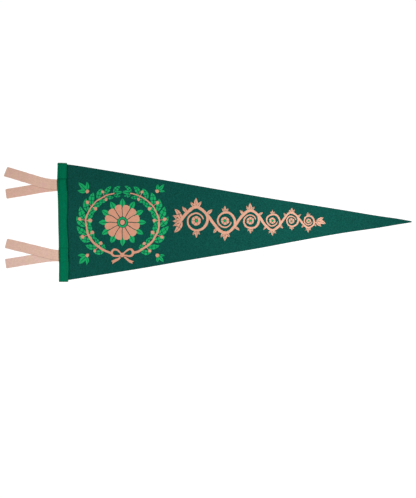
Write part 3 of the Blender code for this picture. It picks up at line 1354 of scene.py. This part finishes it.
    def stitches(self) -> Skin:
        """Sews both seams, front and back, with short tubes that dip into the felt at each end.

        A stitch's height is a half turn of a sine from hole to hole. On the back the thread
        lies in the felt's plain face, so it dips the other way. Each row wanders a little to
        the sides, as a sum of small random steps that comes back to its line at the end.

        Returns:
            The thread's surface.
        """
        rng = np.random.default_rng(41)
        first, last = self.bottom + 2.2 * MM, self.top - 3.0 * MM
        starts = np.arange(first, last - self.stitch, self.stitch)
        reach = np.linspace(0.0, 1.0, 7)
        turn = np.linspace(0.0, 2 * math.pi, 6, endpoint=False)
        skin = Skin()
        for from_left, at_front in ((True, True), (False, True), (True, False), (False, False)):
            wander = self.thread_wander * rng.standard_normal(len(starts) + 1).cumsum() * 0.25
            wander -= np.linspace(wander[0], wander[-1], len(wander))
            y = starts[:, None] + self.stitch * (0.06 + 0.88 * reach)
            x = self.seams(y)[0 if from_left else 1]
            x = x + wander[:-1, None] + np.diff(wander)[:, None] * reach
            arch = np.sin(math.pi * reach)
            if at_front:
                z = self.surface(x, y)[0] + (0.62 * arch - 0.40) * 0.42 * MM
            else:
                z = (0.20 + 0.26 * (1 - arch)) * MM + 0.0 * x
            ring = joined(np.cos(turn), 0 * turn, -np.sin(turn)) * self.thread_radius
            skin.add_tubes(joined(x, y, z)[:, :, None] + ring)
        return skin


# The print


def turned(points: Array, angle: float | Array) -> Array:
    """Turns points of the plane to the left, about its origin.

    Args:
        points: An array of any shape, by 2.
        angle: In radians, one for all or one for each.

    Returns:
        The turned points.
    """
    c, s = np.cos(angle), np.sin(angle)
    x, y = points[..., 0], points[..., 1]
    return joined(x * c - y * s, x * s + y * c)


def away(start: Array, heading: float, distance: float) -> Array:
    """The point at a distance from another, in a direction in radians."""
    return start + distance * np.array([math.cos(heading), math.sin(heading)])


@dataclass
class Screen:
    """One colour of the print: flat patches of ink, each a grid of points in the plane."""

    name: str
    ink: ScreenInk
    slot: str
    surface: Callable[[Array, Array], Array]
    film: float  # how thick the ink lies
    ragged: float = 0.20 * MM  # how far the fibres pull its outline about
    ragged_x: Unevenness = Unevenness(2.2 * MM, 8 * MM, 12, seed=51)
    ragged_y: Unevenness = Unevenness(2.2 * MM, 8 * MM, 12, seed=52)
    drift: float = 0.45 * MM  # how far the hand-cut shapes stray from a regular layout
    drift_x: Unevenness = Unevenness(16 * MM, 48 * MM, 8, seed=53)
    drift_y: Unevenness = Unevenness(16 * MM, 48 * MM, 8, seed=54)
    point_step: float = 1.1 * MM
    lift_step: float = 0.001 * MM
    lift_steps: int = 30
    skin: Skin = field(default_factory=Skin)
    count: int = 0

    def patch(self, grid: Array) -> None:
        """Lays one patch of ink on the felt, its outline made a little uneven.

        Patches take turns at heights a thousandth of a millimetre apart, so that two that cross
        don't share a surface. A patch is a lens: thin at its rim and a little thicker inside.

        Args:
            grid: Rows by columns by 2, at least 3 each way.
        """
        x, y = grid[..., 0], grid[..., 1]
        x, y = (
            x + self.ragged * self.ragged_x.at(x, y) + self.drift * self.drift_x.at(x, y),
            y + self.ragged * self.ragged_y.at(x, y) + self.drift * self.drift_y.at(x, y),
        )
        self.count += 1
        height = self.film + self.lift_step * (self.count % self.lift_steps)
        ground = self.surface(x, y) + 0.02 * MM
        inside = np.zeros(x.shape)
        inside[1:-1, 1:-1] = 1.0
        self.skin.add_sheet(x, y, ground + height * (0.7 + 0.3 * inside), ground + 0.3 * height)

    def stroke(
        self, path: Array, half_width: Array | float, columns: int = 4, notch: float = 0.0
    ) -> None:
        """Draws a line of ink: a path offset to both sides along its normal.

        Args:
            path: Points along the line.
            half_width: Half the line's width, one value or one for each point.
            columns: Points across the line.
            notch: Depth of the cut in its far end, like a ribbon's, which is made by moving the
                last points on along the path by the notch times their share of the half width.
        """
        tangent = np.gradient(path, axis=0)
        tangent /= np.linalg.norm(tangent, axis=1)[:, None]
        normal = joined(-tangent[:, 1], tangent[:, 0])
        side = np.linspace(-1.0, 1.0, columns)
        width = np.broadcast_to(half_width, len(path))
        onward = notch * smoothstep(np.linspace(-3.0, 1.0, len(path)))
        across = normal[:, None, :] * (width[:, None] * side)[..., None]
        along = tangent[:, None, :] * (onward[:, None] * np.abs(side))[..., None]
        self.patch(path[:, None, :] + across + along)

    def disc(self, centre: Array, radius: float, sides: int = 16) -> None:
        """Draws a dot: chords across a circle, from one end of its diameter to the other.

        Args:
            centre: Its middle.
            radius: Its radius.
            sides: How many chords.
        """
        angle = np.linspace(0.03, math.pi - 0.03, sides)
        up = joined(np.cos(angle), np.sin(angle))
        down = up * np.array([1.0, -1.0])
        share = np.linspace(0.0, 1.0, 5)[None, :, None]
        self.patch(centre + radius * (down[:, None, :] * (1 - share) + up[:, None, :] * share))

    def leaf(
        self,
        base: Array,
        heading: float,
        length: float,
        width: float,
        bend: float = 0.0,
        lobes: int = 3,
        gap: float = 1.5 * MM,
    ) -> None:
        """Draws a cut leaf: two halves beside a bare midrib, each split by slanting veins.

        Half the width at a share t of the length is a sine of t^0.8 half a turn long, raised to
        0.85 so that the leaf is full. The bend turns each point by an angle that grows with the
        square of its share.

        Args:
            base: Where the leaf joins its stem.
            heading: Direction in radians.
            length: From base to point.
            width: At its widest.
            bend: How far the leaf turns over its length, in radians.
            lobes: Pieces that the veins make of each half.
            gap: Width of the bare midrib and veins.
        """
        bounds = np.linspace(0.0, 1.0, lobes + 1)
        vein = gap * 0.75 / length
        for side in (1.0, -1.0):
            for first, last in zip(bounds[:-1], bounds[1:]):
                low = first + (vein / 2 if first > 0 else 0.03)
                high = last - (vein / 2 if last < 1 else 0.0)
                rows = max(5, round((high - low) * length / self.point_step))
                t = np.linspace(low, high, rows)[:, None]
                reach = width / 2 * np.sin(math.pi * t**0.8) ** 0.85
                inner = np.minimum(gap / 2 * (1 - 0.7 * t), reach * 0.6)
                across = inner + (reach - inner) * np.linspace(0.0, 1.0, 4)[None, :]
                along = t * length + 0.30 * across * (1 - t)
                angle = heading + 0.5 * bend * (along / length) ** 2
                self.patch(base + turned(joined(along, side * across), angle))

    def fan(self, base: Array, heading: float, length: float, spread: float, gap: float) -> None:
        """Draws three leaves from one point, the outer two a fifth shorter.

        Args:
            base: Where they meet.
            heading: Direction of the middle one, in radians.
            length: Its length.
            spread: How far the outer two turn to the sides, in radians.
            gap: Width of the bare midribs.
        """
        for turn, share in ((-spread, 0.8), (0.0, 1.0), (spread, 0.8)):
            self.leaf(
                base, heading + turn, length * share, 0.40 * length * share,
                bend=-0.4 * turn, lobes=1, gap=gap,
            )

    def petals(self, centre: Array, count: int, inner: float, outer: float, gap: float) -> None:
        """Draws a ring of rounded petals.

        A petal's half width is half of its share of the circle at each radius, less half the
        gap, and its end is rounded by a quarter circle over the last third.

        Args:
            centre: The flower's middle.
            count: How many petals.
            inner: Radius where they start.
            outer: Radius that they reach.
            gap: Felt left bare between two petals.
        """
        t = np.linspace(0.0, 1.0, max(7, round((outer - inner) / self.point_step)))
        radius = inner + (outer - inner) * t
        reach = (radius * math.tan(math.pi / count) - gap / 2) * round_edge(1 - t, 0.34)
        reach = np.maximum(reach, 0.05 * MM)[:, None] * np.linspace(-1.0, 1.0, 5)
        shape = joined(np.broadcast_to(radius[:, None], reach.shape), reach)
        for i in range(count):
            self.patch(centre + turned(shape, 2 * math.pi * (i + 0.5) / count))

    def build(self) -> bpy.types.Object:
        """Makes the colour's mesh."""
        return self.skin.to_object(self.name, self.ink.material(), self.slot, smooth=False)


@dataclass
class Inks:
    """The two screens that the print is pulled through."""

    green: Screen
    tan: Screen

    def blossom(self, centre: Array, radius: float, count: int) -> None:
        """Draws a small flower: tan petals round a green dot."""
        self.tan.petals(centre, count, 0.36 * radius, radius, gap=0.09 * radius)
        self.green.disc(centre, 0.24 * radius)

    def bare(self, root: Array, cell: float = 2 * MM) -> Array:
        """Picks the points of the felt that lie in cells of a square grid with no ink in them.

        Args:
            root: Points by 3.
            cell: Side of the grid's cells.

        Returns:
            Those that are clear of the print.
        """
        number = np.array([1, 100_000])  # makes one whole number of a cell's column and row
        inked = np.concatenate(self.green.skin.points + self.tan.skin.points)
        held, cells = (np.floor(spot[:, :2] / cell).astype(int) @ number for spot in (inked, root))
        return root[~np.isin(cells, held)]


@dataclass
class Wreath:
    """A leafy oval ring tied with a bow, round a daisy: the large motif near the hoist."""

    centre: tuple[float, float] = (125 * MM, -2 * MM)
    half_width: float = 71 * MM
    half_height: float = 60 * MM
    stem_foot: float = math.radians(15)  # from the oval's foot, as the two below
    first_node: float = math.radians(27)
    last_node: float = math.radians(164)
    nodes: int = 11
    leaf_length: float = 26.5 * MM
    leaf_width: float = 11.7 * MM
    lean: float = math.radians(40)  # of the leaves off their stem
    berry: float = 3.5 * MM
    daisy_radius: float = 35 * MM
    daisy_petals: int = 12
    petal_foot: float = 10.5 * MM  # how far from its middle the petals start
    eye_ring: float = 7.8 * MM
    eye: float = 4.6 * MM
    bow_reach: float = 21 * MM
    bow_rise: float = 6.2 * MM
    bow_tilt: float = math.radians(16)
    knot: float = 4.2 * MM
    corner_sprigs: tuple[tuple[int, int, int], ...] = (  # left or right, low or high, mm long
        (-1, 1, 22), (1, 1, 17), (-1, -1, 21), (1, -1, 16),
    )

    def stem(self, turn: Array) -> Array:
        """Finds points of the oval.

        Args:
            turn: Angles from its foot, positive to the right and up, in radians.

        Returns:
            Points by 2.
        """
        x = self.half_width * np.sin(turn)
        y = -self.half_height * np.cos(turn)
        return joined(x, y) + np.array(self.centre)

    def draw(self, inks: Inks) -> None:
        """Draws the two sprays of the ring, the daisy, the bow and a sprig in each corner.

        Args:
            inks: The two screens.
        """
        for side in (1.0, -1.0):
            self.spray(inks, side)
        self.daisy(inks)
        self.bow(inks)
        for across, up, size in self.corner_sprigs:
            x = self.centre[0] + across * 0.98 * self.half_width
            y = self.centre[1] + up * 1.06 * self.half_height
            self.sprig(inks, np.array([x, y]), math.atan2(up, across), size * MM)

    def spray(self, inks: Inks, side: float) -> None:
        """Draws one side of the ring: a tapering stem with pairs of leaves, and its berries.

        Args:
            inks: The two screens.
            side: 1 for the right half, -1 for the left.
        """
        turn = side * np.linspace(self.stem_foot, self.last_node + 0.06, 100)
        inks.tan.stroke(self.stem(turn), np.linspace(2.3 * MM, 1.1 * MM, 100))
        for i, share in enumerate(np.linspace(0.0, 1.0, self.nodes)):
            at = side * (self.first_node + (self.last_node - self.first_node) * share)
            here, ahead = self.stem(np.array([at, at + side * 0.01]))
            heading = math.atan2(*(ahead - here)[::-1])
            size = 1.0 - 0.26 * (2 * share - 0.9) ** 2
            for out, part in ((1.0, 1.0), (-1.0, 0.78)):
                lean = -side * out * self.lean
                inks.green.leaf(
                    away(here, heading + lean, 3.0 * MM), heading + lean,
                    self.leaf_length * size * part, self.leaf_width * size * part,
                    bend=-0.6 * lean,
                )
            if i % 2 == 1:
                for out, reach in ((1.0, 12.0 * MM), (-1.0, 9.0 * MM)):
                    spot = away(here, heading - side * out * math.radians(84), reach * size)
                    inks.tan.stroke(np.linspace(here, spot, 6), 0.55 * MM, columns=3)
                    inks.tan.disc(spot, self.berry * size)
        tip = self.stem(np.array([turn[-2], turn[-1]]))
        heading = math.atan2(*(tip[1] - tip[0])[::-1])
        inks.green.leaf(away(tip[1], heading, 1.5 * MM), heading, 14 * MM, 7 * MM, lobes=1)

    def daisy(self, inks: Inks) -> None:
        """Draws the flower: petals round a ringed middle, with leaves behind them.

        Args:
            inks: The two screens.
        """
        centre = np.array(self.centre) + np.array([0.0, 2 * MM])
        inks.tan.petals(
            centre, self.daisy_petals, self.petal_foot, self.daisy_radius, gap=1.5 * MM
        )
        for i in range(self.daisy_petals):
            heading = 2 * math.pi * i / self.daisy_petals
            inks.green.leaf(
                away(centre, heading, 0.80 * self.daisy_radius), heading,
                0.52 * self.daisy_radius, 0.30 * self.daisy_radius, lobes=1,
            )
        turn = np.linspace(0, 2 * math.pi * 0.997, 50)
        ring = joined(np.cos(turn), np.sin(turn))
        inks.green.stroke(centre + ring * self.eye_ring, 1.5 * MM)
        inks.tan.disc(centre, self.eye)

    def bow(self, inks: Inks) -> None:
        """Draws the ribbon at the ring's foot: a knot, two teardrop loops and two notched tails.

        A loop's points are a sine of half a turn out and a sine of a whole turn up and down.

        Args:
            inks: The two screens.
        """
        knot = self.stem(np.array([0.0]))[0] - np.array([0.0, 1 * MM])
        turn = np.linspace(0.04, math.pi - 0.04, 36)
        reach = np.linspace(0.0, 1.0, 14)
        for side in (1.0, -1.0):
            loop = joined(self.bow_reach * np.sin(turn), self.bow_rise * np.sin(2 * turn))
            loop = turned(loop, self.bow_tilt) * np.array([side, 1.0])
            inks.tan.stroke(knot + loop, (1.2 + 0.9 * np.sin(turn)) * MM)
            tail = joined(side * (4 + 15 * reach), -4 - 14 * reach + 4 * reach**2) * MM
            inks.tan.stroke(knot + tail, (1.6 + 1.3 * reach) * MM, notch=2.6 * MM)
        inks.tan.disc(knot, self.knot)

    def sprig(self, inks: Inks, base: Array, heading: float, length: float) -> None:
        """Draws three leaves and a berry that point to a corner of the print."""
        inks.green.fan(base, heading, length, math.radians(58), gap=1.3 * MM)
        inks.tan.disc(away(base, heading + math.pi, 2.5 * MM), self.berry)


@dataclass
class Vine:
    """A scrolling vine that dwindles towards the tip: the long motif."""

    start: float = 238 * MM
    level: float = 3 * MM
    first: float = 60 * MM  # length of the first arch
    dwindle: float = 0.872  # of each arch after the one before
    arches: int = 6
    rise: float = 0.44  # height of an arch over its length
    stem_start: float = 3.1 * MM  # half widths of the stem at its two ends
    stem_end: float = 1.6 * MM
    branch: float = 0.80  # share of the arch where its curl leaves the stem
    curl_turns: float = 1.08
    curl_tighten: float = 1.35  # rate at which its radius shrinks, for each turn
    curl_end: float = 0.175  # its last radius over the arch's length, as are all the rest
    blossom: float = 0.155
    under_leaf: float = 0.22
    crown_leaf: float = 0.31
    shoulder_leaf: float = 0.24
    shoulder_leaf_width: float = 0.10

    def arch(self, x0: float, span: float, side: float, share: Array) -> Array:
        """Finds points of one arch of the stem: half a sine wave.

        Args:
            x0: Where it starts.
            span: Its length.
            side: 1 where it stands up, -1 where it hangs.
            share: Shares of its length.

        Returns:
            Points by 2.
        """
        x = x0 + span * share
        y = self.level + side * self.rise * span * np.sin(math.pi * share)
        return joined(x, y)

    def draw(self, inks: Inks) -> None:
        """Draws the stem, each arch's curl, flower and leaves, and the leaves at both ends.

        Args:
            inks: The two screens.
        """
        x0 = self.start
        path = []
        for i in range(self.arches):
            span = self.first * self.dwindle**i
            side = 1.0 if i % 2 == 0 else -1.0
            path.append(self.arch(x0, span, side, np.linspace(0.0, 1.0, 24))[:-1])
            self.curl(inks, x0, span, side)
            self.leaves(inks, x0, span, side)
            x0 += span
        stem = np.concatenate(path)
        inks.tan.stroke(stem, np.linspace(self.stem_start, self.stem_end, len(stem)), columns=5)
        root, end = np.array([self.start + 2 * MM, self.level]), np.array([x0, self.level])
        inks.tan.fan(end, -0.25, 19 * MM, 0.75, gap=1.0 * MM)
        for turn, length in ((0.0, 18), (0.62, 20), (-0.62, 20), (1.22, 27), (-1.22, 27)):
            inks.tan.leaf(
                root, math.pi + turn, length * MM, 0.36 * length * MM, bend=-0.3 * turn, lobes=2,
                gap=1.3 * MM,
            )

    def curl(self, inks: Inks, x0: float, span: float, side: float) -> None:
        """Draws the curl that leaves an arch and winds in to a blossom.

        It starts where the stem passes the branch's share, as a circle that touches the stem
        there, and its radius then shrinks by a falling exponential of the turns.

        Args:
            inks: The two screens.
            x0: Where the arch starts.
            span: Its length.
            side: 1 where it stands up, -1 where it hangs.
        """
        centre = np.array([x0 + span / 2, self.level])
        joint = self.arch(x0, span, side, np.array([self.branch]))[0] - centre
        first = float(np.hypot(*joint))
        last = self.curl_end * span
        turns = np.linspace(0.0, self.curl_turns, 64)
        radius = last + (first - last) * np.exp(-self.curl_tighten * turns)
        angle = math.atan2(joint[1], joint[0]) - side * 2 * math.pi * turns
        path = centre + radius[:, None] * joined(np.cos(angle), np.sin(angle))
        thick = (span / self.first) ** 0.6
        inks.tan.stroke(path, np.linspace(2.6, 1.1, 64) * MM * thick)
        inks.blossom(centre, self.blossom * span, 6)
        under = centre - np.array([0.0, side * 0.33 * span])
        inks.tan.fan(under, -side * math.pi / 2, self.under_leaf * span, 0.95, gap=0.9 * MM)

    def leaves(self, inks: Inks, x0: float, span: float, side: float) -> None:
        """Draws a fan of leaves on an arch's crown and a leaf on each of its shoulders.

        Args:
            inks: The two screens.
            x0: Where the arch starts.
            span: Its length.
            side: 1 where it stands up, -1 where it hangs.
        """
        crown, left, right = self.arch(x0, span, side, np.array([0.5, 0.2, 0.84]))
        inks.tan.fan(crown, side * math.pi / 2, self.crown_leaf * span, 0.95, gap=1.1 * MM)
        length, width = self.shoulder_leaf * span, self.shoulder_leaf_width * span
        for base, turn in ((left, 2.2), (right, 0.7)):
            inks.tan.leaf(base, side * turn, length, width, lobes=1, gap=0.9 * MM)


# The studio


class Lamp(NamedTuple):
    """A square studio lamp that looks straight down."""

    name: str
    place: tuple[float, float, float]
    watts: float


@dataclass(frozen=True)
class Studio:
    """A plain white floor, an even sky, two soft lamps over the flag, and a camera above."""

    pixel: float = 1.94 * MM  # size of one photo pixel on the flag
    frame_rows: int = 498
    centre: tuple[float, float] = (291 * MM, -51.7 * MM)
    lens: float = 85.0
    sensor: float = 36.0
    lamps: tuple[Lamp, ...] = (
        Lamp("hoist_lamp", place=(0.013, -0.110, 0.43), watts=1.13),
        Lamp("tip_lamp", place=(0.513, -0.016, 0.33), watts=1.23),
    )
    lamp_size: float = 0.25
    sky: float = 0.42
    floor_glow: float = 0.915
    floor_size: float = 60.0
    floor_level: float = -0.2 * MM

    def floor(self) -> None:
        """Lays the floor: a lit table, whose own glow keeps it evenly white past the lamps."""
        half = self.floor_size / 2
        mesh = bpy.data.meshes.new("floor")
        corners = [(-half, -half), (half, -half), (half, half), (-half, half)]
        mesh.from_pydata([(x, y, self.floor_level) for x, y in corners], [], [(0, 1, 2, 3)])
        made = bpy.data.materials.new("lit_white_table")
        made.use_nodes = True
        fill(made.node_tree, made.node_tree.nodes["Principled BSDF"], {
            "Base Color": linear("#7f7f7f"), "Roughness": 0.9, "Specular IOR Level": 0.0,
            "Emission Color": WHITE, "Emission Strength": self.floor_glow,
        })
        mesh.materials.append(made)
        floor = bpy.data.objects.new("floor", mesh)
        bpy.context.scene.collection.objects.link(floor)

    def light(self) -> None:
        """Sets an even white sky and the lamps."""
        scene = bpy.context.scene
        scene.world = bpy.data.worlds.new("white_sky")
        scene.world.use_nodes = True
        tree = scene.world.node_tree
        fill(tree, tree.nodes["Background"], {"Color": WHITE, "Strength": self.sky})
        for name, (x, y, z), watts in self.lamps:
            data = bpy.data.lights.new(name, "AREA")
            data.shape = "SQUARE"
            data.size = self.lamp_size
            data.energy = watts
            lamp = bpy.data.objects.new(name, data)
            lamp.location = (x + HOIST_X, y, z)
            lamp.visible_camera = False
            scene.collection.objects.link(lamp)
        scene.view_settings.view_transform = "Standard"

    def camera(self) -> None:
        """Hangs the camera over the photo's middle, as high as fills the frame's height."""
        data = bpy.data.cameras.new("camera")
        data.lens = self.lens
        data.sensor_width = self.sensor
        camera = bpy.data.objects.new("camera", data)
        x, y = self.centre
        height = self.frame_rows * self.pixel * self.lens / self.sensor
        camera.location = (x + HOIST_X, y, height)
        bpy.context.scene.collection.objects.link(camera)
        bpy.context.scene.camera = camera


# The whole


def tease_fibres(
    pennant: Pennant, header: Header, ties: list[Tie], inks: Inks
) -> list[bpy.types.Object]:
    """Draws the loose fibres out of the three felts, where neither ink nor a tie covers them.

    Args:
        pennant: The dark green sheet.
        header: The strip along the hoist.
        ties: The four ties.
        inks: The print, once it is drawn.

    Returns:
        The fibres of the pennant, of the header and of the ties.
    """
    dark = Fuzz(
        "pennant_fuzz", "pennant_felt",
        LooseFibre("dark_green_wool_fibre", pale_hex="#3f9a8c", deep_hex="#0b4039"), seed=61,
    )
    dark.fringe(pennant.cut_edge())
    dark.scatter(inks.bare(pennant.face_at(*dark.rng.uniform(0.01, 0.99, (2, pennant.lint)))))

    bright = Fuzz(
        "header_fuzz", "header_felt",
        LooseFibre("bright_green_wool_fibre", pale_hex="#23a97c", deep_hex="#04583c"), seed=62,
    )
    bright.fringe(header.cut_edge())
    bright.scatter(header.face_at(*bright.rng.uniform(0.01, 0.99, (2, header.lint))))

    tan = Fuzz(
        "tie_fuzz", "tie_felt",
        LooseFibre("tan_wool_fibre", pale_hex="#eed9cb", deep_hex="#dcb8a6"), seed=63,
        radius=0.035 * MM, reach=0.6,
    )
    for tie, above in zip(ties, tie_covers(ties)):
        tan.fringe(tie.cut_edge())
        along_share = tan.rng.uniform(0.0, 1.0, tie.lint)
        root = tie.face_at(along_share, tan.rng.uniform(-0.9, 0.9, tie.lint))
        if above is not None:
            root = root[root[:, 1] < above.lower_edge(root[:, 0]) - MM]
        tan.scatter(root)
    return [fuzz.build() for fuzz in (dark, bright, tan)]


def main() -> None:
    """Loads the solids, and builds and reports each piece."""
    logging.basicConfig(level=logging.INFO, format="%(name)s: %(message)s")
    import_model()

    dark_green = WoolFelt(
        "dark_green_wool_felt", body_hex="#0f473f", fleece_hex="#0f4941", fibre_hex="#21796c",
        painted_shade_depth=0.65,
    )
    bright_green = WoolFelt(
        "bright_green_wool_felt", body_hex="#036a4b", fleece_hex="#036c4a", fibre_hex="#12946a",
        nap=Nap.ALONG_Y, clump_depth=0.16, fibre_share=0.12,
    )
    thread = SpunThread("green_polyester_thread", body_hex="#046a48", shade_hex="#024a33")
    green_ink = ScreenInk(
        "green_screen_ink", hoist_hex="#159f5c", tip_hex="#159f5c", through_hex="#0b453d"
    )
    tan_ink = ScreenInk(
        "tan_screen_ink", hoist_hex="#c98e75", tip_hex="#d19d85", through_hex="#6d5a48"
    )

    ties = cut_ties()
    header = Header(bright_green, thread, ties)
    pennant = Pennant(dark_green)
    pieces = [pennant.build(header)]
    pieces += [tie.build(above) for tie, above in zip(ties, tie_covers(ties))]
    pieces += header.build()

    inks = Inks(
        green=Screen("print_green", green_ink, "green_ink", pennant.top, film=0.05 * MM),
        tan=Screen("print_tan", tan_ink, "tan_ink", pennant.top, film=0.12 * MM),
    )
    Wreath().draw(inks)
    Vine().draw(inks)
    pieces += [inks.green.build(), inks.tan.build()]
    pieces += tease_fibres(pennant, header, ties, inks)
    for piece in pieces:
        mesh = piece.data
        LOG.info("%s: %d points, %d faces", piece.name, len(mesh.vertices), len(mesh.polygons))

    studio = Studio()
    studio.floor()
    studio.light()
    studio.camera()


if __name__ == "__main__":
    main()
